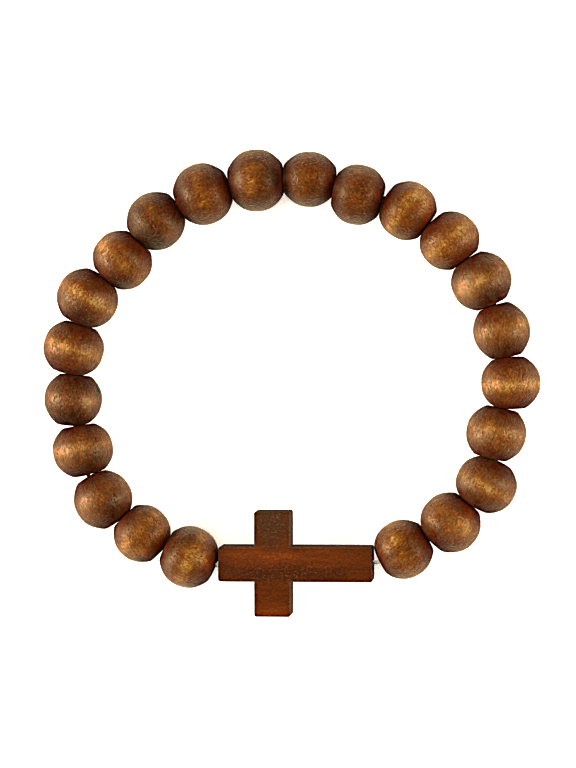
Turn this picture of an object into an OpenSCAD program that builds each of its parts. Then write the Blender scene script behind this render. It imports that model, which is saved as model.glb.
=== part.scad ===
// Wooden bead bracelet: a closed string of drilled wooden beads with a small wooden
// cross, all threaded on one elastic cord. It lies flat on a surface at z = 0, with
// the cross at the front (-Y) and the wrist opening in the middle. Millimetres.

/* [Size] */
// Diameter of a usual bead; the sizes below are for a 10 mm bead and grow with it
bead_d = 10; // [6:0.5:16]

/* [Beads] */
// Diameter of the hole through a bead and through the cross
hole_d = 2.6; // [2.5:0.1:2.8]
// Free space between neighbouring beads where they come closest
bead_gap = 0.12; // [0.1:0.01:0.2]

/* [Cross] */
// Length of the drilled bar
bar_l = 25.7; // [24:0.1:25.8]
// Height of the drilled bar in the plane of the cross
bar_w = 5.8; // [4.5:0.1:7]
// Length of the arm that crosses the bar
arm_l = 17.5; // [12:0.5:20]
// Width of the arm that crosses the bar
arm_w = 6; // [4:0.1:8]
// Thickness of the cross
cross_t = 5.5; // [4.5:0.1:7]
// How far the arm stands from the middle of the bar, towards the left end
arm_shift = 3.8; // [0:0.1:5]
// Rounding of the corners of the cross
corner_r = 0.6; // [0.2:0.1:1.5]

/* [Cord] */
// Diameter of the clear elastic cord
cord_d = 0.7; // [0.5:0.1:0.7]

/* [Hidden] */
// Columns of BEADS: the direction of the hole and the direction of the step to the
// next bead, both in degrees from +X and seen from above, the diameter and the length
// of the bead, and how dark its wood is, from 0 golden to 1 dark brown.
TURN = 0;
STEP = 1;
WIDE = 2;
LONG = 3;
DARK = 4;

// A row for each bead, from the right end of the cross once round to its left end.
// The last step leads to the cross.
BEADS = [
    [ 27,  30,  9.8, 8.6, 0.5],
    [ 48,  47, 10.1, 8.4, 0.6],
    [ 63,  79, 10.1, 7.9, 0.4],
    [ 76,  74,  9.9, 8.3, 0.3],
    [ 92, 100,  9.8, 8.0, 0.2],
    [104, 112,  9.4, 8.4, 0.5],
    [119, 128, 10.0, 8.2, 0.5],
    [130, 144, 10.0, 8.0, 0.3],
    [144, 162,  9.8, 8.0, 0.5],
    [167, 162, 10.0, 8.0, 0.4],
    [177, 181,  9.2, 8.2, 0.6],
    [186, 194, 10.3, 8.6, 0.5],
    [202, 209, 10.3, 8.6, 0.4],
    [220, 229,  9.7, 8.4, 0.5],
    [227, 227, 10.1, 8.1, 0.3],
    [241, 254, 10.3, 8.4, 0.2],
    [252, 269, 10.1, 8.1, 0.1],
    [264, 281,  9.6, 8.1, 0.8],
    [281, 292, 10.1, 8.0, 0.1],
    [303, 319,  9.8, 8.4, 0.6],
    [315, 334,  9.6, 8.1, 0.3],
    [335, 360, 10.3, 8.5, 0.5],
];
bead_count = len(BEADS);

// The sizes above, and all that follow, are for a bead of this diameter
table_d = 10;
growth = bead_d / table_d;

// Profile of a bead: a flat arc over the belly, a rounder one over each shoulder and a
// flat end face round the hole. The belly's radius is given in radii of the bead.
belly_ratio = 1.2;
belly_angle = 10;
face_r = 2.1;

// Farthest direction off a step, in degrees, in which the gap to the next bead is sought
spread = 30;

// Centres of the first bead, seen from above, and of the bar of the cross
first_xy = [18.8, -27.7];
bar_centre = [0.95, -30.1, 4.9];

// Sides of the cord, and the overrun of a cut beyond the face that it cuts
cord_sides = 8;
over = 1;

function turn(i) = BEADS[i][TURN];
function step(i) = BEADS[i][STEP];
function radius(i) = BEADS[i][WIDE] / 2;
function half_l(i) = BEADS[i][LONG] / 2;
function flat_dir(a) = [cos(a), sin(a)];

// Where the belly's arc ends, measured from the bead's centre, as [out, along]
function belly_r(i) = belly_ratio * radius(i);
function belly_end(i) =
    [radius(i) - belly_r(i), 0] + belly_r(i) * flat_dir(belly_angle);

// The shoulder's arc leaves the belly's arc without a corner and ends at the face
function to_face(i) = belly_end(i) - [face_r, half_l(i)];
function shoulder_r(i) =
    to_face(i) * to_face(i) / (2 * flat_dir(belly_angle) * to_face(i));
function shoulder_centre(i) = belly_end(i) - shoulder_r(i) * flat_dir(belly_angle);

// How far a bead reaches from its centre along a line at angle a to its hole: to the
// rim of the end face at small angles, and to the shoulder at larger ones
function rim_angle(i) =
    atan2(face_r - shoulder_centre(i)[0], half_l(i) - shoulder_centre(i)[1]);
function rim_reach(i, a) = half_l(i) * cos(a) + face_r * sin(a);
function shoulder_reach(i, a) =
    shoulder_r(i) + shoulder_centre(i) * [sin(a), cos(a)];
function reach(i, a) =
    abs(a) < rim_angle(i) ? rim_reach(i, abs(a)) : shoulder_reach(i, abs(a));

// From one bead's centre to the next. Two beads are as far apart as they are in the
// direction that parts them most, which lies up to spread degrees off the step.
function apart(i, n) =
    (reach(i, step(i) + n - turn(i)) + bead_gap + reach(i + 1, step(i) + n - turn(i + 1)))
        / cos(n);
PITCHES = [for (i = [0 : bead_count - 2]) min([for (n = [-spread : spread]) apart(i, n)])];

// Centres by walking along the string, each bead resting on the surface
function centre_xy(i) =
    i == 0 ? first_xy : centre_xy(i - 1) + PITCHES[i - 1] * flat_dir(step(i - 1));
CENTRES = [for (i = [0 : bead_count - 1]) [each centre_xy(i), radius(i)]];

// Both mouths of each hole in the order of the string, that of the cross first
function mouths(centre, dir, half) = [centre - half * dir, centre + half * dir];
HOLES = [
    mouths(bar_centre, [1, 0, 0], bar_l / 2),
    for (i = [0 : bead_count - 1])
        mouths(CENTRES[i], [each flat_dir(turn(i)), 0], half_l(i)),
];
hole_count = len(HOLES);

// The cord runs straight from each joint between two holes to the next one
function joint(k) = (HOLES[k][1] + HOLES[(k + 1) % hole_count][0]) / 2;
function hole_middle(k) = (joint((k + hole_count - 1) % hole_count) + joint(k)) / 2;
ROUTE = [for (k = [0 : hole_count - 1]) each [hole_middle(k), joint(k)]];
route_count = len(ROUTE);

// One ring of the cord's skin, square to the run of the cord at that point
function unit(v) = v / norm(v);
function run_dir(k) =
    unit(ROUTE[(k + 1) % route_count] - ROUTE[(k + route_count - 1) % route_count]);
function ring(k) =
    let (side = unit(cross([0, 0, 1], run_dir(k))), up = cross(run_dir(k), side))
    [for (s = [0 : cord_sides - 1])
        let (a = 360 * s / cord_sides)
        ROUTE[k] + cord_d / 2 * (cos(a) * side + sin(a) * up)];

// The two triangles of the skin between ring k and the next, at side s
function skin(k, s) =
    let (
        here = k * cord_sides,
        next = (k + 1) % route_count * cord_sides,
        t = (s + 1) % cord_sides
    )
    [[here + s, here + t, next + s], [here + t, next + t, next + s]];

function bead_name(i) = str("bead_", i < 9 ? "0" : "", i + 1);

// Right half of a bead's cross-section, with its hole left out. Each shoulder's disc
// lies inside the belly's disc up to where the belly ends, so the two just overlap.
module bead_profile(i) {
    hand_over = belly_end(i)[1];
    difference() {
        union() {
            intersection() {
                translate([radius(i) - belly_r(i), 0]) circle(r = belly_r(i));
                translate([0, -hand_over]) square([radius(i), 2 * hand_over]);
            }
            for (side = [0, 1]) mirror([0, side]) intersection() {
                translate(shoulder_centre(i)) circle(r = shoulder_r(i));
                square([radius(i), half_l(i)]);
            }
        }
        square([hole_d, 2 * half_l(i) + over], center = true);
    }
}

module bead(i) {
    golden = [0.62, 0.40, 0.18];
    darkest = 0.45;
    color(golden * (1 - darkest * BEADS[i][DARK]))
        scale(growth)
            translate(CENTRES[i])
                rotate([0, 90, turn(i)])
                    rotate_extrude($fn = 72) bead_profile(i);
}

module rounded_rect(l, w) {
    square([l - 2 * corner_r, w], center = true);
    square([l, w - 2 * corner_r], center = true);
    for (x = [-1, 1], y = [-1, 1])
        translate([x * (l / 2 - corner_r), y * (w / 2 - corner_r)])
            circle(r = corner_r, $fn = 32);
}

module wooden_cross() {
    color([0.43, 0.22, 0.09])
        scale(growth)
            translate(bar_centre)
                difference() {
                    linear_extrude(cross_t, center = true) {
                        rounded_rect(bar_l, bar_w);
                        translate([-arm_shift, 0]) rounded_rect(arm_w, arm_l);
                    }
                    rotate([0, 90, 0])
                        cylinder(d = hole_d, h = bar_l + 2 * over, center = true, $fn = 48);
                }
}

module elastic_cord() {
    color([0.8, 0.8, 0.77])
        scale(growth)
            polyhedron(
                points = [for (k = [0 : route_count - 1]) each ring(k)],
                faces = [for (k = [0 : route_count - 1], s = [0 : cord_sides - 1])
                    each skin(k, s)]
            );
}

for (i = [0 : bead_count - 1]) bead(i);
wooden_cross();  // cross
elastic_cord();  // cord
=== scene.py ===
# %% [markdown]
# # A wooden bead bracelet, turned, stained and strung
# The bracelet is 22 drilled wooden beads and a small wooden cross on one clear elastic
# cord. It lies closed on a white table. Its construction comes in as a fixed frame in
# metres, so every piece made here goes exactly where the frame says. The beads are
# turned as on a lathe, the cross is sawn out and softened, and the cord is drawn through.

# %% Load the frame and keep its box
import math
import random

import bmesh
import bpy
from mathutils import Matrix, Vector, noise


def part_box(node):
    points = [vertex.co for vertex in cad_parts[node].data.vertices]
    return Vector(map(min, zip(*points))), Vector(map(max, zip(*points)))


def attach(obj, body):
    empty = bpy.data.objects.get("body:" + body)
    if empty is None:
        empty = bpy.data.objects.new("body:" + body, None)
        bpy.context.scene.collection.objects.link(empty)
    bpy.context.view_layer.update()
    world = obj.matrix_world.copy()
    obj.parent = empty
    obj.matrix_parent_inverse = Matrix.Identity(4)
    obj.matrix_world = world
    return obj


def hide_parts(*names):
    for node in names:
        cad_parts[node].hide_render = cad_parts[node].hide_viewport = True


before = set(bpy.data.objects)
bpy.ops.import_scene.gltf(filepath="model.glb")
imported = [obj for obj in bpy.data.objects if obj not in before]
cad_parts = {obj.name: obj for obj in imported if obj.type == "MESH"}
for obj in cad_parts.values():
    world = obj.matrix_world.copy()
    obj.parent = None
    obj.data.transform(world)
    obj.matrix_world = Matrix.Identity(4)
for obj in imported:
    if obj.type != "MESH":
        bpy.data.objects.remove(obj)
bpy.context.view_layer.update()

MM = 0.001
print("nodes in the frame:", len(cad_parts))

# %% [markdown]
# ## The camera
# The photograph looks down on the bracelet from half a metre, a little from the right:
# the beads show their tops, and the cross shows thin strips of its right and far sides.
# A camera could be aimed with a constraint, but three axes worked out from the line of
# sight say exactly how the picture hangs, with the cross level in it.

# %% Camera above the bracelet
PICTURE_CENTRE = Vector((-0.35, -0.18, 5)) * MM
EYE_FROM_CENTRE = Vector((50, 15, 500)) * MM
LENS_MM = 141.39

camera = bpy.data.objects.new("camera", bpy.data.cameras.new("camera"))
bpy.context.scene.collection.objects.link(camera)
sight = -EYE_FROM_CENTRE.normalized()
right = (Vector((1, 0, 0)) - sight.x * sight).normalized()
up = right.cross(sight)
camera.matrix_world = Matrix.Translation(PICTURE_CENTRE + EYE_FROM_CENTRE) @ Matrix(
    (right, up, -sight)
).transposed().to_4x4()
camera.data.lens = LENS_MM
camera.data.clip_start = 10 * MM
camera.data.clip_end = 10
bpy.context.scene.camera = camera
print("eye above the table in mm:", round(camera.location.z / MM))

# %% [markdown]
# ## The string of beads
# No two beads of such a bracelet are alike. They differ by half a millimetre in size,
# and more in colour, because every piece of wood takes the stain in its own way. One
# short table holds what sets each bead apart. The places come from the frame.

# %% A row for each bead
# Direction of the hole in degrees from +X, diameter and length in mm, then the finish:
# how dark the stain came out, how golden its belt is, a belt that is partly lighter stain
# and partly a painted sheen band, and how grey its film is, a film that is partly a painted
# sheen, all from 0 to 1, and how far along the hole the golden belt stands from the middle, in mm.
TURN, WIDE, LONG, DARK, GOLD_AND_SHEEN, GREY_AND_SHEEN, BELT = range(7)
BEADS = [
    [27, 9.8, 8.6, 0.45, 0.3, 0.0, 0.0],
    [48, 10.1, 8.4, 0.35, 0.2, 0.3, 0.8],
    [63, 10.1, 7.9, 0.6, 0.6, 0.3, -0.2],
    [76, 9.9, 8.3, 0.4, 0.4, 0.4, 0.5],
    [92, 9.8, 8.0, 0.3, 0.65, 0.1, -0.3],
    [104, 9.4, 8.4, 0.45, 0.4, 0.3, 0.4],
    [119, 10.0, 8.2, 0.55, 0.5, 0.4, 0.0],
    [130, 10.0, 8.0, 0.35, 0.5, 0.1, 0.1],
    [144, 9.8, 8.0, 0.4, 0.5, 0.1, 0.5],
    [167, 10.0, 8.0, 0.9, 0.0, 0.0, 0.8],
    [177, 9.2, 8.2, 0.8, 0.1, 0.1, 0.6],
    [186, 10.3, 8.6, 0.8, 0.2, 0.1, 0.6],
    [202, 10.3, 8.6, 0.8, 0.2, 0.1, -0.3],
    [220, 9.7, 8.4, 1.0, 0.2, 0.3, -0.8],
    [227, 10.1, 8.1, 0.45, 0.4, 0.1, 0.2],
    [241, 10.3, 8.4, 0.45, 0.6, 0.2, -0.3],
    [252, 10.1, 8.1, 0.4, 0.6, 0.2, -0.1],
    [264, 9.6, 8.1, 0.9, 0.2, 0.3, -0.1],
    [281, 10.1, 8.0, 0.5, 0.6, 0.2, -0.4],
    [303, 9.8, 8.4, 0.6, 0.2, 0.2, -0.5],
    [315, 9.6, 8.1, 0.4, 0.4, 0.2, -0.4],
    [335, 10.3, 8.5, 0.4, 0.4, 0.3, 0.6],
]
BEAD_NAMES = [f"bead_{number:02d}" for number in range(1, len(BEADS) + 1)]


def middle_of(node):
    low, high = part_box(node)
    return (Vector(low) + Vector(high)) / 2


# Patches on each bead, as the picture shows them, partly stain and partly painted highlights
# and painted shade: the place to the right and up from the bead's middle and the radius in mm,
# then how much lighter and how much paler the wood is painted there.
STAIN_AND_LIGHT_PATCHES = {
    "bead_01": [
        (-1.3, 2.0, 1.2, 0.9, 0.0), (1.6, 0.4, 1.8, -0.2, 0.0), (-2.6, 0.6, 1.0, 0.1, 0.3),
        (-2.1, -1.8, 1.1, 0.2, 0.3), (0.8, -3.4, 1.6, 0.2, 0.0), (-3.6, 0.0, 1.3, 0.6, 0.1),
    ],
    "bead_02": [
        (1.9, -1.8, 1.3, 0.5, 0.3), (-3.4, 1.3, 1.2, 0.2, 0.3), (2.8, 0.6, 2.0, 0.9, 0.0),
        (-0.6, -2.6, 1.6, -0.5, 0.0),
    ],
    "bead_03": [
        (-1.0, 0.9, 0.9, 0.7, 0.1), (0.8, -0.7, 1.1, 0.7, 0.1), (-3.2, 0.4, 1.2, 0.0, 0.4),
        (-2.2, 0.2, 1.4, -0.2, 0.0),
    ],
    "bead_04": [
        (-1.0, 1.5, 1.2, 0.5, 0.0), (-2.8, -0.5, 1.6, 0.5, 0.5), (3.6, -0.3, 1.1, 0.0, 0.3),
        (2.4, 0.2, 1.5, -0.2, 0.0),
    ],
    "bead_05": [
        (-3.6, 0.0, 1.3, 0.2, 0.3), (3.4, -0.1, 1.2, -0.2, 0.3), (0.2, -2.5, 1.5, 0.3, 0.1),
    ],
    "bead_06": [
        (-3.3, -1.0, 1.4, 0.4, 0.6), (3.4, 1.4, 1.2, 0.5, 0.3), (0.5, -3.0, 1.7, -0.8, 0.0),
    ],
    "bead_07": [
        (-2.6, -0.9, 2.0, 1.2, 1.0), (0.2, 0.3, 1.2, 0.5, 0.1), (2.0, -2.5, 2.0, -1.1, 0.0),
        (1.6, 1.6, 1.5, -0.3, 0.0),
    ],
    "bead_08": [
        (2.2, 1.6, 1.2, 0.3, 0.1), (-2.4, -2.2, 1.3, 0.4, 0.1), (3.6, 0.4, 1.7, 0.7, 0.2),
        (0.6, -2.6, 1.4, 0.3, 0.0),
    ],
    "bead_09": [
        (2.4, 2.2, 1.2, 0.6, 0.0), (-2.7, -2.6, 1.1, 0.5, 0.0), (3.5, 0.2, 1.8, 1.2, 0.1),
        (0.2, 0.2, 1.5, -0.1, 0.0), (0.2, 2.5, 1.5, 0.3, 0.0),
    ],
    "bead_10": [
        (0.5, 3.9, 1.2, 0.8, 0.1), (0.2, -0.6, 1.6, 0.2, 0.0), (-2.4, 1.0, 1.5, 0.2, 0.3),
        (3.3, 0.0, 1.5, 0.8, 0.0),
    ],
    "bead_11": [
        (0.3, 0.0, 1.3, 0.2, 0.0), (-3.4, 0.3, 1.5, 0.6, 0.3), (3.5, 0.3, 1.5, 1.0, 0.0),
    ],
    "bead_12": [
        (-0.4, -1.2, 1.3, 0.9, 0.0), (-2.8, 0.0, 1.4, 0.3, 0.5), (3.7, 0.2, 1.7, -1.8, 0.0),
        (0.2, -3.9, 1.6, -0.9, 0.0), (0.0, 1.6, 1.2, 0.4, 0.0),
    ],
    "bead_13": [
        (-0.6, 0.6, 1.2, 0.5, 0.0), (0.4, -1.8, 1.1, 0.5, 0.0), (-2.6, 0.2, 1.4, -0.4, 0.2),
        (3.5, 0.2, 1.4, 0.6, 0.0), (-0.6, 3.2, 1.4, 0.3, 0.0),
    ],
    "bead_14": [
        (-0.8, 1.6, 1.2, 0.5, 0.0), (-3.3, -0.9, 1.5, -0.2, 0.5), (2.2, -2.6, 1.0, 0.5, 0.2),
        (0.0, -3.9, 2.0, -3.0, 0.0), (-2.4, 0.2, 1.6, -1.0, 0.0),
    ],
    "bead_15": [
        (-2.6, 2.6, 1.5, 0.8, 0.1), (1.3, -0.9, 1.2, 0.3, 0.0), (-2.8, -0.6, 1.8, 0.5, 0.3),
        (-0.2, -0.2, 1.4, -0.4, 0.0), (0.2, 2.6, 1.5, 0.3, 0.0), (0.2, -3.6, 1.7, -1.2, 0.0),
    ],
    "bead_16": [
        (-1.0, 1.8, 1.2, 0.6, 0.0), (2.6, -0.4, 1.3, 0.6, 0.2), (-3.3, -1.0, 1.3, 0.2, 0.4),
        (-0.6, -2.8, 1.8, -1.3, 0.0), (2.2, 1.2, 1.3, -0.2, 0.0),
    ],
    "bead_17": [
        (-3.5, 0.2, 1.3, 0.3, 0.1), (-0.2, 0.4, 1.3, 0.3, 0.0), (2.4, -1.6, 1.1, 0.4, 0.1),
        (2.6, 0.8, 1.6, -0.7, 0.0),
    ],
    "bead_18": [
        (3.3, -0.4, 1.3, 1.1, 0.6), (0.2, -3.1, 1.8, -1.3, 0.0), (0.2, 2.6, 1.5, -0.1, 0.0),
        (-3.0, 0.5, 1.2, 0.7, 0.3), (0.3, -0.4, 1.2, 0.4, 0.0),
    ],
    "bead_19": [
        (-2.2, -0.2, 1.7, 0.3, 0.4), (0.8, 0.8, 1.0, 0.3, 0.1), (-0.2, 3.3, 1.4, 0.5, 0.0),
        (1.5, -3.0, 1.7, -0.9, 0.0), (3.2, 0.2, 1.7, -0.8, 0.0),
    ],
    "bead_20": [
        (-2.6, -0.4, 1.8, 0.7, 0.6), (2.3, -1.7, 1.7, -0.9, 0.0), (-0.4, -2.8, 1.5, 0.0, 0.1),
        (3.0, 0.6, 1.6, -0.6, 0.0),
    ],
    "bead_21": [
        (-2.3, -2.5, 1.4, 0.7, 0.0), (-0.4, 0.4, 1.5, -0.2, 0.0), (3.5, 0.3, 1.4, 0.6, 0.0),
        (-3.6, 0.8, 1.1, 0.1, 0.3), (0.6, -3.2, 1.8, 0.9, 0.0), (-2.4, 0.6, 1.5, 0.3, 0.1),
    ],
    "bead_22": [
        (0.2, 1.6, 0.9, 0.8, 0.0), (-0.3, -0.8, 1.0, 0.8, 0.0), (-3.0, -0.2, 1.3, -0.1, 0.4),
        (-1.6, -3.4, 1.3, 0.4, 0.0), (3.1, -0.2, 1.8, 1.3, 0.0), (-2.0, 0.4, 1.6, -0.3, 0.0),
        (0.0, 3.5, 1.6, -1.1, 0.0),
    ],
}

print("beads:", len(BEADS), "with", sum(map(len, STAIN_AND_LIGHT_PATCHES.values())), "patches of stain and painted light")
print("first bead at", middle_of("bead_01") / MM, "mm and last at", middle_of("bead_22") / MM, "mm")

# %% [markdown]
# ## Helpers for finishes
# A finish in Blender is a small network of nodes. A few helpers keep the recipes
# below short: they add a node and fill its inputs, do a sum, or mix two colours.
# Wiring every node by hand would do the same in four times the lines.
# Anything that is the same all over a surface is typed straight into the shader.

# %% Node helpers
class Recipe:
    """The node tree of one material, with its Principled shader ready to be fed."""

    def __init__(self, name):
        self.material = bpy.data.materials.new(name)
        self.material.use_nodes = True
        self.tree = self.material.node_tree
        self.tree.nodes.clear()
        output = self.tree.nodes.new("ShaderNodeOutputMaterial")
        self.shader = self.tree.nodes.new("ShaderNodeBsdfPrincipled")
        self.tree.links.new(self.shader.outputs["BSDF"], output.inputs["Surface"])

    def put(self, socket, value):
        if isinstance(value, bpy.types.NodeSocket):
            self.tree.links.new(value, socket)
        else:
            socket.default_value = value

    def add(self, kind, inputs, **settings):
        node = self.tree.nodes.new(kind)
        for name, value in settings.items():
            setattr(node, name, value)
        for name, value in inputs.items():
            self.put(node.inputs[name], value)
        return node

    def sum(self, how, *values):
        node = self.add("ShaderNodeMath", {}, operation=how)
        for socket, value in zip(node.inputs, values):
            self.put(socket, value)
        return node.outputs[0]

    def attribute(self, name):
        return self.add("ShaderNodeAttribute", {}, attribute_name=name).outputs["Vector"]

    def parts(self, name):
        """The three numbers that an attribute holds at each point."""
        split = self.add("ShaderNodeSeparateXYZ", {"Vector": self.attribute(name)})
        return split.outputs["X"], split.outputs["Y"], split.outputs["Z"]

    def stretched(self, coords, scale, shift=(0, 0, 0)):
        mapping = {"Vector": coords, "Location": shift, "Scale": scale}
        return self.add("ShaderNodeMapping", mapping).outputs["Vector"]

    def length(self, vector):
        return self.add("ShaderNodeVectorMath", {0: vector}, operation="LENGTH").outputs["Value"]

    def noise(self, coords, scale, **inputs):
        fine = {"Vector": self.stretched(coords, scale), "Scale": 1.0}
        fine.update({name.capitalize(): value for name, value in inputs.items()})
        return self.add("ShaderNodeTexNoise", fine).outputs["Fac"]

    def between(self, value, low, high, new_low=0.0, new_high=1.0):
        limits = {"From Min": low, "From Max": high, "To Min": new_low, "To Max": new_high}
        return self.add("ShaderNodeMapRange", {"Value": value, **limits}).outputs["Result"]

    def mix(self, factor, first, second, how="MIX"):
        """Mixes two colours, whose sockets share their names with others and go by number."""
        colours = {0: factor, 6: first, 7: second}
        return self.add("ShaderNodeMix", colours, data_type="RGBA", blend_type=how).outputs[2]

    def ramp(self, value, stops):
        node = self.add("ShaderNodeValToRGB", {"Fac": value})
        ladder = node.color_ramp.elements
        ladder[0].position, ladder[0].color = stops[0][0], (*stops[0][1], 1)
        ladder[1].position, ladder[1].color = stops[-1][0], (*stops[-1][1], 1)
        for place, colour in stops[1:-1]:
            ladder.new(place).color = (*colour, 1)
        return node.outputs["Color"]

    def weighed(self, start, weights):
        """The start and every part times its weight, added up."""
        total = start
        for part, weight in weights:
            total = self.sum("MULTIPLY_ADD", part, weight, total)
        return total

    def finish(self, **values):
        for name, value in values.items():
            self.put(self.shader.inputs[name.replace("_", " ")], value)
        return self.material


print("helpers ready:", [name for name in vars(Recipe) if not name.startswith("_")])

# %% [markdown]
# ## Stained wood
# The wood's fibres run along the hole. On the belly of a bead they lie in the surface
# and show as fine dashes, light and dark, while near the ends they are cut across and
# show as dots that drink more stain. A flat picture wrapped round the bead could not do
# both. A solid pattern can: noise that is stretched along the fibres, cut by the form.

# %% The marks in the wood
recipe = Recipe("stained bead wood")
wood = recipe.attribute("wood")
dashes = recipe.noise(wood, (1.3, 2.1, 2.1), detail=2.0, roughness=0.55, distortion=1.3)
flecks = recipe.noise(wood, (2.0, 3.2, 3.2), detail=1.0, roughness=0.5, distortion=0.8)
clouds = recipe.noise(wood, (0.35, 0.55, 0.55), detail=2.0, roughness=0.5)
hues = recipe.noise(wood, (0.5, 0.8, 0.8), detail=1.0, roughness=0.5)
pores = recipe.between(recipe.noise(wood, (1.8, 3.6, 3.6), detail=1.0), 0.58, 0.70)
print("kinds of mark: dashes, flecks, clouds, hues and pores")

# %% How the stain took, with painted shade and sheen
# Light and dark run from 0 to 1. A bead is darker towards its shoulders and ends, where the
# fibres are cut and drink more stain, and this darkening is also painted shade where the
# beads touch. It wears a golden belt, partly lighter stain and partly a painted sheen band,
# which rarely stands just in the middle.
STAIN = [
    (0.0, (0.040, 0.0075, 0.0008)),
    (0.25, (0.070, 0.0135, 0.0009)),
    (0.50, (0.134, 0.0280, 0.0013)),
    (0.65, (0.210, 0.0520, 0.0030)),
    (0.80, (0.330, 0.108, 0.0100)),
    (1.0, (0.600, 0.300, 0.0700)),
]
WAVE = 0.25
# Of the stain, the first number also holds the painted highlights and painted shade of the patches, the
# second the golden belt with its painted sheen, and the third the grey film with its painted sheen.
dark, gold_and_sheen, grey_and_sheen = recipe.parts("stain")
to_end, paler, scar = recipe.parts("form")
to_belt = recipe.parts("belt")[0]


def wavy(distance):
    """The clouds bend a line that would else run round the bead like a drawn ring."""
    return recipe.sum("MULTIPLY_ADD", clouds, WAVE, recipe.sum("SUBTRACT", distance, WAVE / 2))


# The golden belt is partly lighter stain and partly a painted sheen band round the belly.
stain_and_sheen_belt = recipe.sum("MULTIPLY", recipe.between(wavy(to_belt), 0.33, 0.05), gold_and_sheen)
# Darker towards the shoulders and ends: partly end-grain stain, partly painted shade where the beads
# touch.
shoulder_stain_and_shade = recipe.between(wavy(to_end), 0.35, 0.85)
near_end = recipe.between(to_end, 0.54, 0.97)
lighter_by = [
    (dashes, 0.72),
    (clouds, 0.45),
    (stain_and_sheen_belt, 0.39),
    (dark, -0.26),
    (shoulder_stain_and_shade, -0.18),
    (near_end, -0.10),
    (pores, -0.11),
]
light = recipe.weighed(0.125, lighter_by)
print("lightness is the sum of", len(lighter_by), "parts")

# %% Colour of the stain, with painted shade, sheen and highlights
# Each film or tinge lies over the ones before it, from the wood outwards. The end tinge
# and the end face are partly painted shade where the beads touch, the grey film is partly
# a painted sheen, and the pale patches are partly painted highlights.
RED_TINGE = (1.0, 0.62, 0.7, 1)
END_STAIN_AND_SHADE = (1.0, 0.45, 0.4, 1)
END_FACE_STAIN_AND_SHADE = (0.090, 0.015, 0.003, 1)
PALE_FLECK = (0.062, 0.034, 0.006, 1)
GREY_FILM_AND_SHEEN = (0.150, 0.080, 0.030, 1)
PALE_WEAR_AND_HIGHLIGHT = (0.430, 0.240, 0.110, 1)
CHIP_BROWN = (0.014, 0.008, 0.005, 1)
COVER_SHARE = 0.6

colour = recipe.ramp(light, STAIN)
reddish = recipe.between(hues, 0.44, 0.64, 0.0, 0.5)
redder = recipe.sum("MULTIPLY_ADD", stain_and_sheen_belt, -1.0, reddish)
colour = recipe.mix(redder, colour, RED_TINGE, how="MULTIPLY")
# The end tinge and the end face are end-grain stain and painted shade where the beads touch.
colour = recipe.mix(near_end, colour, END_STAIN_AND_SHADE, how="MULTIPLY")
colour = recipe.mix(recipe.between(to_end, 0.90, 1.0), colour, END_FACE_STAIN_AND_SHADE)
off_the_end = recipe.sum("SUBTRACT", 1.0, near_end)
pale = recipe.sum("MULTIPLY", recipe.between(flecks, 0.54, 0.68), off_the_end)
colour = recipe.mix(pale, colour, PALE_FLECK, how="ADD")
# The grey film is partly a painted sheen.
film_and_sheen = recipe.sum("MULTIPLY", recipe.between(hues, 0.58, 0.40), grey_and_sheen)
colour = recipe.mix(recipe.sum("MULTIPLY", film_and_sheen, COVER_SHARE), colour, GREY_FILM_AND_SHEEN)
# Pale patches: partly worn stain and partly painted highlights.
wear_and_highlight = recipe.sum("MULTIPLY", paler, recipe.between(clouds, 0.30, 0.70, 0.5, 1.5))
colour = recipe.mix(recipe.sum("MULTIPLY", wear_and_highlight, COVER_SHARE), colour, PALE_WEAR_AND_HIGHLIGHT)
ragged = recipe.sum("MULTIPLY", scar, dashes)
colour = recipe.mix(recipe.between(ragged, 0.05, 0.20), colour, CHIP_BROWN)
print("nodes in the recipe so far:", len(recipe.tree.nodes))

# %% Satin finish over the stain
# The lacquer lies thin. Its gloss is golden, and it fades towards the ends and where the
# wood turns away, while a soft sheen stays on the slopes.
GOLDEN_GLOSS = (1.0, 0.70, 0.34, 1)
CREAM_SHEEN = (1.0, 0.90, 0.48, 1)
SHEEN = 0.45
MARKS_DEEP = 0.08 * MM
relief = recipe.sum("MULTIPLY_ADD", pores, -0.8, dashes)
relief = recipe.sum("MULTIPLY_ADD", flecks, 0.6, relief)
bump = recipe.add("ShaderNodeBump", {"Height": relief, "Strength": 0.9, "Distance": MARKS_DEEP})
turned_away = recipe.add("ShaderNodeLayerWeight", {"Blend": 0.5}).outputs["Facing"]
gloss = recipe.between(turned_away, 0.30, 0.85, 0.70, 0.10)
gloss = recipe.sum("MULTIPLY", gloss, recipe.between(to_end, 0.30, 0.80, 1.0, 0.15))
bead_wood = recipe.finish(
    Base_Color=colour,
    Roughness=recipe.between(dashes, 0.3, 0.7, 0.46, 0.36),
    Specular_IOR_Level=gloss,
    Specular_Tint=GOLDEN_GLOSS,
    Sheen_Weight=recipe.sum("MULTIPLY_ADD", near_end, -SHEEN, SHEEN),
    Sheen_Roughness=0.37,
    Sheen_Tint=CREAM_SHEEN,
    Anisotropic=0.5,
    Tangent=recipe.attribute("round"),
    Normal=bump.outputs["Normal"],
)
print("finish:", bead_wood.name, "with", len(recipe.tree.nodes), "nodes")

# %% [markdown]
# ## Turning a bead
# A lathe turns a bead from a rod: the tool rounds the belly and both shoulders, leaves a
# flat face round the hole, and breaks the edges. The spin operator does the same in
# Blender. A single vertex spun a little way draws an arc of the profile, and the whole
# profile, spun once round the hole, becomes the bead.

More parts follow.
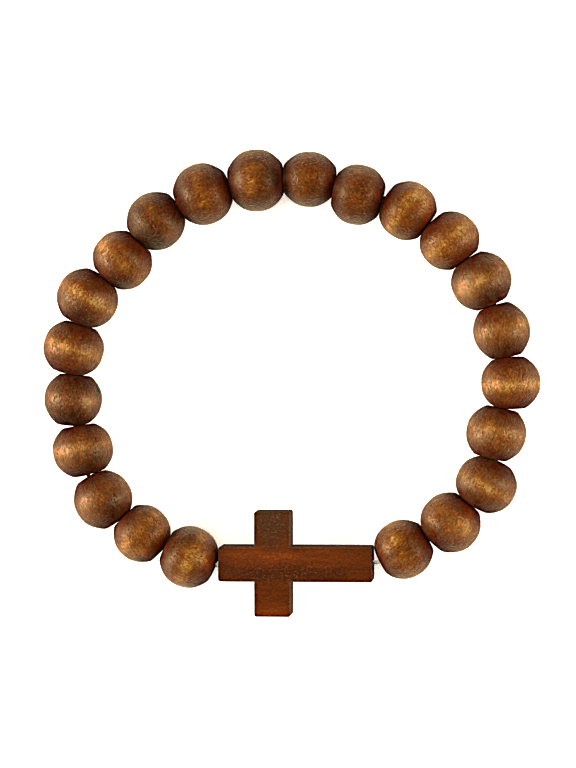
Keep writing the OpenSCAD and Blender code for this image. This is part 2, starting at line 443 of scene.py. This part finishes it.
# %% Draw the profile of a bead
# The belly's radius is given in radii of the bead, and the steps are faces of each arc.
BELLY_RATIO = 1.2
BELLY_ANGLE = math.radians(10)
BELLY_STEPS = 3
SHOULDER_STEPS = 14
FACE_R = 2.1 * MM
BORE_R = 1.3 * MM
ROUND_STEPS = 96
RIM_EASE = 0.5 * MM
MOUTH_EASE = 0.2 * MM
MERGE = 0.001 * MM
TRIAL_R = 5 * MM
TRIAL_HALF_L = 4 * MM


def draw_arc(bm, start, centre, angle, steps):
    """Drags a vertex clockwise round a centre and returns the last vertex of the arc."""
    arc = bmesh.ops.spin(bm, geom=[start], cent=centre, axis=(0, 0, -1), angle=angle, steps=steps)
    return next(item for item in arc["geom_last"] if isinstance(item, bmesh.types.BMVert))


def draw_line(bm, start, end):
    line = bmesh.ops.extrude_vert_indiv(bm, verts=[start])
    line["verts"][0].co = end
    return line["verts"][0]


def draw_profile(bm, radius, half_l):
    """Half of the profile, from the top of the belly over the shoulder and into the bore."""
    belly_r = BELLY_RATIO * radius
    top = bm.verts.new((0, radius, 0))
    belly_end = draw_arc(bm, top, (0, radius - belly_r, 0), BELLY_ANGLE, BELLY_STEPS)
    out = Vector((math.sin(BELLY_ANGLE), math.cos(BELLY_ANGLE), 0))
    to_face = belly_end.co - Vector((half_l, FACE_R, 0))
    shoulder_r = to_face.length_squared / (2 * out.dot(to_face))
    centre = belly_end.co - shoulder_r * out
    sweep = math.atan2(half_l - centre.x, FACE_R - centre.y) - BELLY_ANGLE
    rim = draw_arc(bm, belly_end, centre, sweep, SHOULDER_STEPS)
    mouth = draw_line(bm, rim, (half_l, BORE_R, 0))
    draw_line(bm, mouth, (0, BORE_R, 0))
    return rim, mouth


trial = bmesh.new()
rim, mouth = draw_profile(trial, TRIAL_R, TRIAL_HALF_L)
print("profile:", len(trial.verts), "points, end face at", round(rim.co.x / MM, 3), "mm")
trial.free()

# %% Spin it into a bead
def turn_bead(radius, half_l):
    """A drilled bead with its hole along X: half a profile, eased, mirrored and spun."""
    bm = bmesh.new()
    rim, mouth = draw_profile(bm, radius, half_l)
    for corner, offset, steps in ((rim, RIM_EASE, 5), (mouth, MOUTH_EASE, 3)):
        bmesh.ops.bevel(
            bm, geom=[corner], offset=offset, segments=steps, profile=0.5, affect="VERTICES", material=-1
        )
    half = bm.verts[:] + bm.edges[:]
    bmesh.ops.mirror(bm, geom=half, axis="X", merge_dist=MERGE)
    profile = bm.verts[:] + bm.edges[:]
    bmesh.ops.spin(
        bm, geom=profile, cent=(0, 0, 0), axis=(1, 0, 0), angle=math.tau, steps=ROUND_STEPS, use_merge=True
    )
    bmesh.ops.recalc_face_normals(bm, faces=bm.faces[:])
    return bm


trial = turn_bead(TRIAL_R, TRIAL_HALF_L)
print("bead:", len(trial.faces), "faces,", round(trial.calc_volume() / MM**3), "mm3")
print("open edges:", sum(not edge.is_manifold for edge in trial.edges))
trial.free()

# %% [markdown]
# ## Wear and lumps
# Turned beads are tumbled smooth in a drum, which leaves them a little lumpy, and their
# saw cuts are never quite square. Sculpting would do it bead by bead. Here a slow noise
# pushes the skin in and out by a few hundredths of a millimetre, and each end face is
# tipped by less than a degree, which is enough to break the even outline.

# %% Tumble a bead
LUMP = 0.07 * MM
LUMP_LENGTH = 3.2 * MM
TIP = 0.012
FAR_APART = 90


def tumble(bm, half_l, chance):
    """Makes a bead lumpy and tips its end faces, but leaves the wall of its hole alone."""
    seed = Vector([chance.uniform(0, FAR_APART) for axis in range(3)])
    tips = [(chance.uniform(-TIP, TIP), chance.uniform(-TIP, TIP)) for end in (0, 1)]
    for vert in bm.verts:
        out = Vector((0, vert.co.y, vert.co.z))
        skin = min(1, max(0, (out.length - BORE_R) / MM))
        push = LUMP * skin * noise.noise(vert.co / LUMP_LENGTH + seed)
        tip_y, tip_z = tips[vert.co.x > 0]
        shift = (vert.co.y * tip_y + vert.co.z * tip_z) * abs(vert.co.x / half_l) ** 2
        vert.co += out.normalized() * push + Vector((shift, 0, 0))


print("lumps up to", LUMP / MM, "mm; faces tipped up to", round(math.degrees(TIP), 1), "degrees")

# %% [markdown]
# ## Stringing the beads
# The finish has to follow the wood of each bead and not the room, so every bead carries
# its own coordinates in attributes: where each point lies in its wood, how far it is
# towards an end and from the golden belt with its painted sheen, which way the surface runs
# round the hole, and how its stain took, together with the painted highlights and painted
# shade of its patches. One bead has a dark chip in its rim, where a splinter broke off.
# Painting each bead by hand would not survive a change of its size.

# %% Turn, finish and place every bead
STRING_SEED = 22
WOOD_SPREAD = 50
CHIPPED = "bead_18"
CHIP_PLACE = Vector((4.4, 1.5, 1.2)) * MM
CHIP_R = 1.0 * MM
CHIP_DEEP = 0.16 * MM


def write_attribute(mesh, name, vectors):
    layer = mesh.attributes.new(name, "FLOAT_VECTOR", "POINT")
    layer.data.foreach_set("vector", [number for vector in vectors for number in vector])


def chip_share(name, spot):
    """One in the middle of the chip in a bead's rim and nothing outside it."""
    off = (spot - CHIP_PLACE).length / CHIP_R
    return (1 - off * off) ** 2 if name == CHIPPED and off < 1 else 0.0


def patches_of(name, radius, spots):
    """How much lighter and paler each spot is, by stain and by painted highlights and shade, measured from
    the bead's middle.
    """
    lighter, paler = [0.0] * len(spots), [0.0] * len(spots)
    for right_of, above, patch_r, light_gain, pale_gain in STAIN_AND_LIGHT_PATCHES[name]:
        patch = Vector((right_of, above, 0)) * MM
        patch.z = math.sqrt(max(0, radius**2 - patch.length_squared))
        for k, spot in enumerate(spots):
            share = math.exp(-((spot - patch).length / (patch_r * MM)) ** 2)
            lighter[k] += light_gain * share
            paler[k] += pale_gain * share
    return lighter, paler


def keep_bead(name, bm, looks):
    """Makes the finished mesh an object that carries its looks as attributes."""
    for face in bm.faces:
        face.smooth = True
    mesh = bpy.data.meshes.new(name)
    bm.to_mesh(mesh)
    bm.free()
    for attribute, vectors in looks.items():
        write_attribute(mesh, attribute, vectors)
    mesh.materials.append(bead_wood)
    bead = bpy.data.objects.new(name + "_turned", mesh)
    bpy.context.scene.collection.objects.link(bead)
    return bead


def make_bead(name, row, chance):
    """Turns a bead, notes how its wood lies, how its stain took and where highlights and shade are painted
    on it, and puts it on the table.
    """
    half_l = row[LONG] / 2 * MM
    radius = row[WIDE] / 2 * MM
    bm = turn_bead(radius, half_l)
    roll = Matrix.Rotation(chance.uniform(0, math.tau), 3, "X")
    offset = Vector([chance.uniform(-WOOD_SPREAD, WOOD_SPREAD) for axis in range(3)])
    grain = [roll @ vert.co / MM + offset for vert in bm.verts]
    rounds = [Vector((0, -vert.co.z, vert.co.y)).normalized() for vert in bm.verts]
    tumble(bm, half_l, chance)
    along = [abs(vert.co.x) / half_l for vert in bm.verts]
    belts = [(abs(vert.co.x - row[BELT] * MM) / half_l, 0, 0) for vert in bm.verts]

    place = Matrix.Translation(middle_of(name)) @ Matrix.Rotation(math.radians(row[TURN]), 4, "Z")
    turned = place.to_3x3()
    spots = [turned @ vert.co for vert in bm.verts]
    lighter, paler = patches_of(name, radius, spots)
    chips = [chip_share(name, spot) for spot in spots]
    for vert, share in zip(bm.verts, chips):
        vert.co -= vert.co.normalized() * CHIP_DEEP * share
    bm.transform(place)
    lowest = min(vert.co.z for vert in bm.verts)
    bmesh.ops.translate(bm, verts=bm.verts, vec=(0, 0, -lowest))
    looks = {
        "wood": grain,
        "round": [turned @ way for way in rounds],
        "form": list(zip(along, paler, chips)),
        "belt": belts,
        # The first number of the stain also carries the painted highlights and painted shade of the
        # patches.
        "stain": [(row[DARK] - gain, row[GOLD_AND_SHEEN], row[GREY_AND_SHEEN]) for gain in lighter],
    }
    return keep_bead(name, bm, looks)


chance = random.Random(STRING_SEED)
beads = [make_bead(name, row, chance) for name, row in zip(BEAD_NAMES, BEADS)]
for bead, name in zip(beads, BEAD_NAMES):
    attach(bead, "root")
    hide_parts(name)
print("beads strung:", len(beads), "with", len(beads[0].data.polygons), "faces each")

# %% [markdown]
# ## Pressing the beads together
# The elastic is drawn tight, so no light comes through between two beads. Between each
# pair stands a plane that parts them best. It could be found by hand, by turning it until
# both beads are clear of it. Here every direction near the string is tried, and then
# both ends grow up to the plane, by three tenths of a millimetre at most.

# %% Find the plane between two neighbours
SEARCH = 30
EQUATOR_BAND = 0.3 * MM


def flat_way(degrees):
    return Vector((math.cos(math.radians(degrees)), math.sin(math.radians(degrees)), 0))


def parting_plane(first, second):
    """The widest gap between two beads, its level direction and how far out its plane is."""
    step = (middle_of(second) - middle_of(first)).to_2d()
    towards = round(math.degrees(math.atan2(step.y, step.x)))
    tries = []
    for degrees in range(towards - SEARCH, towards + SEARCH + 1):
        way = flat_way(degrees)
        reached = max(vert.co.dot(way) for vert in equators[first])
        begun = min(vert.co.dot(way) for vert in equators[second])
        tries.append((begun - reached, way, (begun + reached) / 2))
    return max(tries, key=lambda plane: plane[0])


equators = {}
for bead, name in zip(beads, BEAD_NAMES):
    level = middle_of(name).z
    equators[name] = [vert for vert in bead.data.vertices if abs(vert.co.z - level) < EQUATOR_BAND]
planes = [parting_plane(first, second) for first, second in zip(BEAD_NAMES, BEAD_NAMES[1:])]
print("gaps between the beads in mm:", sorted({round(plane[0] / MM, 2) for plane in planes}))

# %% Let both ends grow up to it
LONGEST_PUSH = 0.3 * MM
CLEARANCE = 0.005 * MM
CROSS_GAP = 0.15 * MM
EASE_R = 4.2 * MM


def press(number, end, way, stand):
    """Pushes one end of a bead, 1 or -1, along its hole up to the plane."""
    row = BEADS[number]
    axis = flat_way(row[TURN]) * end
    middle = middle_of(BEAD_NAMES[number])
    for vert in beads[number].data.vertices:
        along = (vert.co - middle).dot(axis)
        if along > 0:
            off_axis = (vert.co - middle - axis * along).length
            ease = min(1, max(0, (EASE_R - off_axis) / (EASE_R - FACE_R)))
            deep = min(1, 2 * along / (row[LONG] * MM))
            free = (stand - vert.co.dot(way)) / axis.dot(way) - CLEARANCE
            push = min(LONGEST_PUSH, max(0, free))
            smooth_ease = ease * ease * (3 - 2 * ease)
            vert.co += axis * push * smooth_ease * deep * deep


for number, (gap, way, stand) in enumerate(planes):
    press(number, 1, way, stand)
    press(number + 1, -1, -way, -stand)
cross_low, cross_high = (Vector(corner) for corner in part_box("cross"))
press(len(beads) - 1, 1, flat_way(0), cross_low.x - CROSS_GAP)
print("pairs pressed together:", len(planes), "and the last bead towards the cross")

# %% [markdown]
# ## The cross
# The cross is sawn from a board 5.5 mm thick, its corners and edges are broken with
# sandpaper, and its long bar is drilled from end to end for the cord. An outline of
# twelve corners, filled, rounded and pulled up into a slab, gives the form. A drill is a
# cylinder that is taken away from it.

# %% Saw out the cross
# The corners go round from the near left one. Those between bar and arm stay sharp.
BAR_W = 5.8 * MM
ARM_W = 6.0 * MM
ARM_SHIFT = 3.8 * MM
CORNER_R = 0.35 * MM
LEFT_CORNER_R = 0.5 * MM
LEFT_CORNERS = (0, 11)
OTHER_CORNERS = (2, 3, 5, 6, 8, 9)
bar_middle = (cross_low + cross_high) / 2
arm_x = bar_middle.x - ARM_SHIFT


def cross_outline():
    left, right = cross_low.x, cross_high.x
    near, far = cross_low.y, cross_high.y
    bar_near, bar_far = bar_middle.y - BAR_W / 2, bar_middle.y + BAR_W / 2
    arm_left, arm_right = arm_x - ARM_W / 2, arm_x + ARM_W / 2
    return [
        (left, bar_near), (arm_left, bar_near), (arm_left, near), (arm_right, near),
        (arm_right, bar_near), (right, bar_near), (right, bar_far), (arm_right, bar_far),
        (arm_right, far), (arm_left, far), (arm_left, bar_far), (left, bar_far),
    ]


bm = bmesh.new()
corners = [bm.verts.new((x, y, cross_low.z)) for x, y in cross_outline()]
bm.faces.new(corners)
for numbers, corner_r in ((LEFT_CORNERS, LEFT_CORNER_R), (OTHER_CORNERS, CORNER_R)):
    group = [corners[number] for number in numbers]
    bmesh.ops.bevel(
        bm, geom=group, offset=corner_r, segments=5, profile=0.5, affect="VERTICES", material=-1
    )
slab = bmesh.ops.extrude_face_region(bm, geom=bm.faces[:])
top = [item for item in slab["geom"] if isinstance(item, bmesh.types.BMVert)]
bmesh.ops.translate(bm, verts=top, vec=(0, 0, cross_high.z - cross_low.z))
bmesh.ops.recalc_face_normals(bm, faces=bm.faces[:])
print("slab:", len(bm.faces), "faces,", round(bm.calc_volume() / MM**3), "mm3")

# %% Break its edges
EDGE_R = 0.22 * MM
LEVEL = 0.01 * MM
rims = [edge for edge in bm.edges if abs(edge.verts[0].co.z - edge.verts[1].co.z) < LEVEL]
bmesh.ops.bevel(
    bm, geom=rims, offset=EDGE_R, segments=3, profile=0.5, affect="EDGES", material=-1
)
cross_mesh = bpy.data.meshes.new("cross")
bm.to_mesh(cross_mesh)
bm.free()
cross = bpy.data.objects.new("cross_sawn", cross_mesh)
bpy.context.scene.collection.objects.link(cross)
print("cross with broken edges:", len(cross_mesh.polygons), "faces")

# %% Drill it from end to end
DRILL_OVERRUN = 1 * MM
SMOOTH_UP_TO = math.radians(40)
bm = bmesh.new()
drill_l = cross_high.x - cross_low.x + 2 * DRILL_OVERRUN
bmesh.ops.create_cone(
    bm, cap_ends=True, segments=64, radius1=BORE_R, radius2=BORE_R, depth=drill_l,
    matrix=Matrix.Translation(bar_middle) @ Matrix.Rotation(math.pi / 2, 4, "Y"),
)
drill_mesh = bpy.data.meshes.new("drill")
bm.to_mesh(drill_mesh)
bm.free()
drill = bpy.data.objects.new("drill", drill_mesh)
bpy.context.scene.collection.objects.link(drill)
cut = cross.modifiers.new("drilled", "BOOLEAN")
cut.operation = "DIFFERENCE"
cut.solver = "EXACT"
cut.object = drill
drilled = bpy.data.meshes.new_from_object(cross.evaluated_get(bpy.context.evaluated_depsgraph_get()))
cross.modifiers.clear()
cross.data = drilled
bpy.data.objects.remove(drill)
for polygon in drilled.polygons:
    polygon.use_smooth = True
drilled.set_sharp_from_angle(angle=SMOOTH_UP_TO)
print("drilled cross:", len(drilled.polygons), "faces")

# %% Mark its sides
# One on every corner of a face that doesn't lie level, and nothing elsewhere
LEVEL_FACE = 0.9
sides = [0.0] * len(drilled.vertices)
for polygon in drilled.polygons:
    if abs(polygon.normal.z) < LEVEL_FACE:
        for corner in polygon.vertices:
            sides[corner] = 1.0
write_attribute(drilled, "side", [(side, 0, 0) for side in sides])
print("corners on the sides:", round(sum(sides)), "of", len(sides))

# %% [markdown]
# ## The finish of the cross
# The cross took a redder stain than the beads, and its grain runs along the bar. Its sides
# were sanded after staining, so they are a paler, duller brown. The finely sanded top has
# little gloss, and at a low angle it has none, or it would flash white from the side.
# Soft patches, darker and lighter, follow the photograph. They could be painted on a
# picture, but a few ovals in the wood's own coordinates also work at any size.

# %% Red brown stain along the bar
CROSS_STAIN = [
    (0.0, (0.022, 0.0065, 0.0022)),
    (0.25, (0.048, 0.0110, 0.0018)),
    (0.50, (0.100, 0.0205, 0.0018)),
    (0.75, (0.195, 0.0380, 0.0030)),
    (1.0, (0.370, 0.1000, 0.0140)),
]
recipe = Recipe("stained cross wood")
place = recipe.add("ShaderNodeTexCoord", {}).outputs["Object"]
in_mm = recipe.stretched(place, (1 / MM,) * 3, -bar_middle / MM)
grain = recipe.noise(in_mm, (0.35, 2.2, 2.2), detail=2.0, roughness=0.6, distortion=0.6)
specks = recipe.noise(in_mm, (2.6, 4.0, 4.0), detail=2.0, roughness=0.6, distortion=0.8)
clouds = recipe.noise(in_mm, (0.18, 0.5, 0.5), detail=2.0)


def soft_patch(centre, size):
    """One in the middle of a patch and nothing at its rim, with the place and size in mm."""
    scale = Vector((1 / size[0], 1 / size[1], 0))
    shift = (-centre[0] * scale.x, -centre[1] * scale.y, 0)
    away = recipe.length(recipe.stretched(in_mm, scale, shift))
    return recipe.between(away, 1.2, 0.3)


# Place and size of each patch in mm from the middle of the bar, and how much lighter it is
CROSS_PATCHES = [
    ((-8.0, 1.4), (6.5, 1.9), 0.14),
    ((-1.2, 1.2), (4.5, 1.2), 0.18),
    ((7.0, 1.2), (6.5, 1.8), 0.10),
    ((-5.5, -1.6), (8.5, 1.7), -0.14),
    ((5.0, -1.8), (6.0, 1.5), -0.10),
    ((-3.8, 6.8), (4.0, 4.2), -0.12),
    ((-3.8, -8.0), (4.0, 1.9), 0.16),
]
marks = [(grain, 0.30), (specks, 0.60), (clouds, 0.25)]
marks += [(soft_patch(centre, size), lighter) for centre, size, lighter in CROSS_PATCHES]
light = recipe.weighed(-0.02, marks)
print("patches on the cross:", len(CROSS_PATCHES))

# %% Sand and finish the cross
OLIVE_FILM = (0.075, 0.038, 0.014, 1)
BRIGHT_SPECK = (0.065, 0.040, 0.023, 1)
SANDED = [(0.35, (0.080, 0.042, 0.019)), (0.65, (0.180, 0.105, 0.055))]
SCRATCHES_DEEP = 0.06 * MM

colour = recipe.ramp(light, CROSS_STAIN)
upper_arm = soft_patch((-3.8, 7.5), (4.2, 5.0))
colour = recipe.mix(recipe.sum("MULTIPLY", upper_arm, 0.5), colour, OLIVE_FILM)
speckled = recipe.sum("MAXIMUM", upper_arm, soft_patch((-1.5, -1.5), (9.5, 1.9)))
bright_specks = recipe.sum("MULTIPLY", recipe.between(specks, 0.54, 0.70), speckled)
colour = recipe.mix(bright_specks, colour, BRIGHT_SPECK, how="ADD")
side = recipe.parts("side")[0]
colour = recipe.mix(recipe.sum("MULTIPLY", side, 0.7), colour, recipe.ramp(specks, SANDED))
relief = recipe.sum("ADD", grain, specks)
bump = recipe.add(
    "ShaderNodeBump", {"Height": relief, "Strength": 0.5, "Distance": SCRATCHES_DEEP}
)
turned_away = recipe.add("ShaderNodeLayerWeight", {"Blend": 0.5}).outputs["Facing"]
gloss = recipe.between(turned_away, 0.35, 0.85, 0.15, 0.01)
gloss = recipe.sum("MULTIPLY", gloss, recipe.sum("MULTIPLY_ADD", side, -0.8, 1.0))
cross_wood = recipe.finish(
    Base_Color=colour,
    Roughness=recipe.between(grain, 0.3, 0.7, 0.5, 0.38),
    Normal=bump.outputs["Normal"],
    Specular_IOR_Level=gloss,
)
drilled.materials.clear()
drilled.materials.append(cross_wood)
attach(cross, "root")
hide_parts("cross")
print("finish:", cross_wood.name, "with", len(recipe.tree.nodes), "nodes")

# %% [markdown]
# ## The elastic cord
# Clear elastic of 0.7 mm runs through every hole. It shows only in the small gaps, most
# of all beside the cross, where it is still clean and catches the light. Elsewhere it is
# brown, partly the stain the beads rubbed off on it and partly painted shade for the dark
# gaps between the beads. A curve with a round bevel is the quickest cord there is: its
# points are the middles of the holes and the joints between. An extruded circle would need
# its own turning at every joint.

# %% Draw the cord through the holes
CORD_R = 0.35 * MM


def hole_mouths(name, row):
    middle = middle_of(name)
    half = flat_way(row[TURN]) * row[LONG] / 2 * MM
    return [middle - half, middle + half]


bar_half = Vector(((cross_high.x - cross_low.x) / 2, 0, 0))
holes = [[bar_middle - bar_half, bar_middle + bar_half]]
holes += [hole_mouths(name, row) for name, row in zip(BEAD_NAMES, BEADS)]
joints = [(hole[1] + after[0]) / 2 for hole, after in zip(holes, holes[1:] + holes[:1])]
route = []
for before, joint in zip(joints[-1:] + joints[:-1], joints):
    route += [(before + joint) / 2, joint]
cord_curve = bpy.data.curves.new("cord", "CURVE")
cord_curve.dimensions = "3D"
cord_curve.bevel_depth = CORD_R
cord_curve.bevel_resolution = 4
spline = cord_curve.splines.new("POLY")
spline.points.add(len(route) - 1)
for point, spot in zip(spline.points, route):
    point.co = (*spot, 1)
spline.use_cyclic_u = True
cord_line = bpy.data.objects.new("cord_line", cord_curve)
bpy.context.scene.collection.objects.link(cord_line)
cord_mesh = bpy.data.meshes.new_from_object(
    cord_line.evaluated_get(bpy.context.evaluated_depsgraph_get())
)
bpy.data.objects.remove(cord_line)
for polygon in cord_mesh.polygons:
    polygon.use_smooth = True
cord = bpy.data.objects.new("cord_drawn", cord_mesh)
bpy.context.scene.collection.objects.link(cord)
length = sum((b - a).length for a, b in zip(route, route[1:] + route[:1]))
print("cord:", round(length / MM, 1), "mm round")

# %% Clear elastic
# The reach is measured from the middle of the bar of the cross.
CLEAR_REACH = 17 * MM
# The brown is partly rubbed-off stain and partly painted shade for the gaps between the beads.
RUBBED_OFF_AND_SHADE = (0.05, 0.014, 0.005, 1)
CLEAR = [(0.3, (0.60, 0.54, 0.46)), (0.7, (0.82, 0.78, 0.72))]
recipe = Recipe("clear elastic")
place = recipe.add("ShaderNodeTexCoord", {}).outputs["Object"]
cloudy = recipe.noise(place, (0.9 / MM,) * 3, detail=2.0)
from_cross = recipe.stretched(place, (1 / CLEAR_REACH,) * 3, -bar_middle / CLEAR_REACH)
# Beyond the reach the cord is painted brown: rubbed-off stain and painted shade in the gaps.
stained = recipe.between(recipe.length(from_cross), 0.95, 1.05)
colour = recipe.mix(stained, recipe.ramp(cloudy, CLEAR), RUBBED_OFF_AND_SHADE)
clear_elastic = recipe.finish(
    Base_Color=colour,
    Roughness=recipe.between(cloudy, 0.3, 0.7, 0.2, 0.35),
    Transmission_Weight=0.85,
    IOR=1.35,
)
cord_mesh.materials.clear()
cord_mesh.materials.append(clear_elastic)
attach(cord, "root")
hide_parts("cord")
print("finish:", clear_elastic.name)

# %% [markdown]
# ## Table and light
# The bracelet was photographed on a lit white table, between two softboxes that stand
# low, a large one on the left and a small, near one on the right. They draw the satin
# sheen on the slopes that face them and leave the tops deep and saturated. A warm, dim
# fill from above opens the shadows. It and the sky are kept out of reflections, as their
# mirror image would turn every top grey. A picture of a real studio could light the scene
# too, but it could not be moved. The table shines a little by itself, which keeps it
# white to its edge and swallows the shadows.

# %% Lit table
TABLE_R = 3.0
TABLE_GLOW = 0.45
TABLE_TINT = (1, 0.985, 0.94, 1)
bm = bmesh.new()
bmesh.ops.create_circle(bm, cap_ends=True, segments=128, radius=TABLE_R)
table_mesh = bpy.data.meshes.new("table")
bm.to_mesh(table_mesh)
bm.free()
table = bpy.data.objects.new("table", table_mesh)
bpy.context.scene.collection.objects.link(table)
recipe = Recipe("lit white table")
table_mesh.materials.append(
    recipe.finish(
        Base_Color=(0.9, 0.9, 0.9, 1),
        Roughness=0.9,
        Emission_Color=TABLE_TINT,
        Emission_Strength=TABLE_GLOW,
    )
)
print("table across in m:", 2 * TABLE_R)


# %% Softboxes and sky
WARM = (1, 0.95, 0.82)
WHITE = (1, 1, 1)
SKY_STRENGTH = 0.08


def place_softbox(name, place, size, power, colour=WHITE, glossy=True):
    data = bpy.data.lights.new(name, "AREA")
    data.shape = "RECTANGLE"
    data.size, data.size_y = size
    data.energy = power
    data.color = colour
    light = bpy.data.objects.new(name, data)
    bpy.context.scene.collection.objects.link(light)
    light.location = place
    light.rotation_euler = (-Vector(place)).to_track_quat("-Z", "Y").to_euler()
    light.visible_camera = False
    light.visible_glossy = glossy
    print(name, power, "W at", place)


place_softbox("left softbox", (-0.95, 0.0, 0.45), (0.42, 0.5), 10.3)
place_softbox("right softbox", (0.50, 0.0, 0.24), (0.22, 0.26), 1.8)
place_softbox("overhead fill", (0.05, 0.1, 1.3), (0.6, 0.6), 6.5, colour=WARM, glossy=False)
sky = bpy.data.worlds.new("sky")
bpy.context.scene.world = sky
sky.use_nodes = True
backdrop = sky.node_tree.nodes["Background"].inputs
backdrop["Color"].default_value = (*WARM, 1)
backdrop["Strength"].default_value = SKY_STRENGTH
sky.cycles_visibility.glossy = False
bpy.context.scene.view_settings.view_transform = "Standard"

# %% [markdown]
# ## Crisp like a shop picture
# Pictures for a shop are sharpened: the mottling of the wood turns crisp, and a thin
# dark line runs round each bead. The same is done here to the finished picture, after
# its bright tones are lifted to plain white and its tones are spaced as on a screen. It
# could be left out without harm, because nothing on the bracelet depends on it.

# %% Sharpen the picture
SCREEN_GAMMA = 2.2
BLUR_PIXELS = 5
SHARPENING = 0.8
WHITE_FROM = 0.5
WHITE_AT = 0.74
ALL_COLOURS = 3
scene = bpy.context.scene
scene.use_nodes = True
tree = scene.node_tree
tree.nodes.clear()


def treat(kind, pictures, inputs, **settings):
    """Adds a step, joins the pictures to its Image sockets and returns its Image."""
    node = tree.nodes.new(kind)
    for name, value in settings.items():
        setattr(node, name, value)
    for name, value in inputs.items():
        node.inputs[name].default_value = value
    sockets = [socket for socket in node.inputs if socket.name.startswith("Image")]
    for picture, socket in zip(pictures, sockets):
        tree.links.new(picture, socket)
    return node.outputs["Image"] if node.outputs else None


picture = treat("CompositorNodeRLayers", [], {})
picture = treat("CompositorNodeMixRGB", [picture], {"Fac": 0.0}, use_clamp=True)
picture = treat("CompositorNodeCurveRGB", [picture], {"Fac": 1.0})
tones = tree.nodes[-1].mapping
for low, high in ((WHITE_FROM, WHITE_FROM), (WHITE_AT, 1.0)):
    tones.curves[ALL_COLOURS].points.new(low, high).handle_type = "VECTOR"
tones.update()
picture = treat("CompositorNodeGamma", [picture], {"Gamma": 1 / SCREEN_GAMMA})
blur = {"filter_type": "GAUSS", "size_x": BLUR_PIXELS, "size_y": BLUR_PIXELS}
blurred = treat("CompositorNodeBlur", [picture], {}, **blur)
detail = treat("CompositorNodeMixRGB", [picture, blurred], {"Fac": 1.0}, blend_type="SUBTRACT")
picture = treat(
    "CompositorNodeMixRGB", [picture, detail], {"Fac": SHARPENING}, blend_type="ADD", use_clamp=True
)
picture = treat("CompositorNodeGamma", [picture], {"Gamma": SCREEN_GAMMA})
treat("CompositorNodeComposite", [picture], {})
print("steps after the render:", len(tree.nodes))

# %% [markdown]
# ## The sizes
# The finished bracelet must fill the same box as its construction.
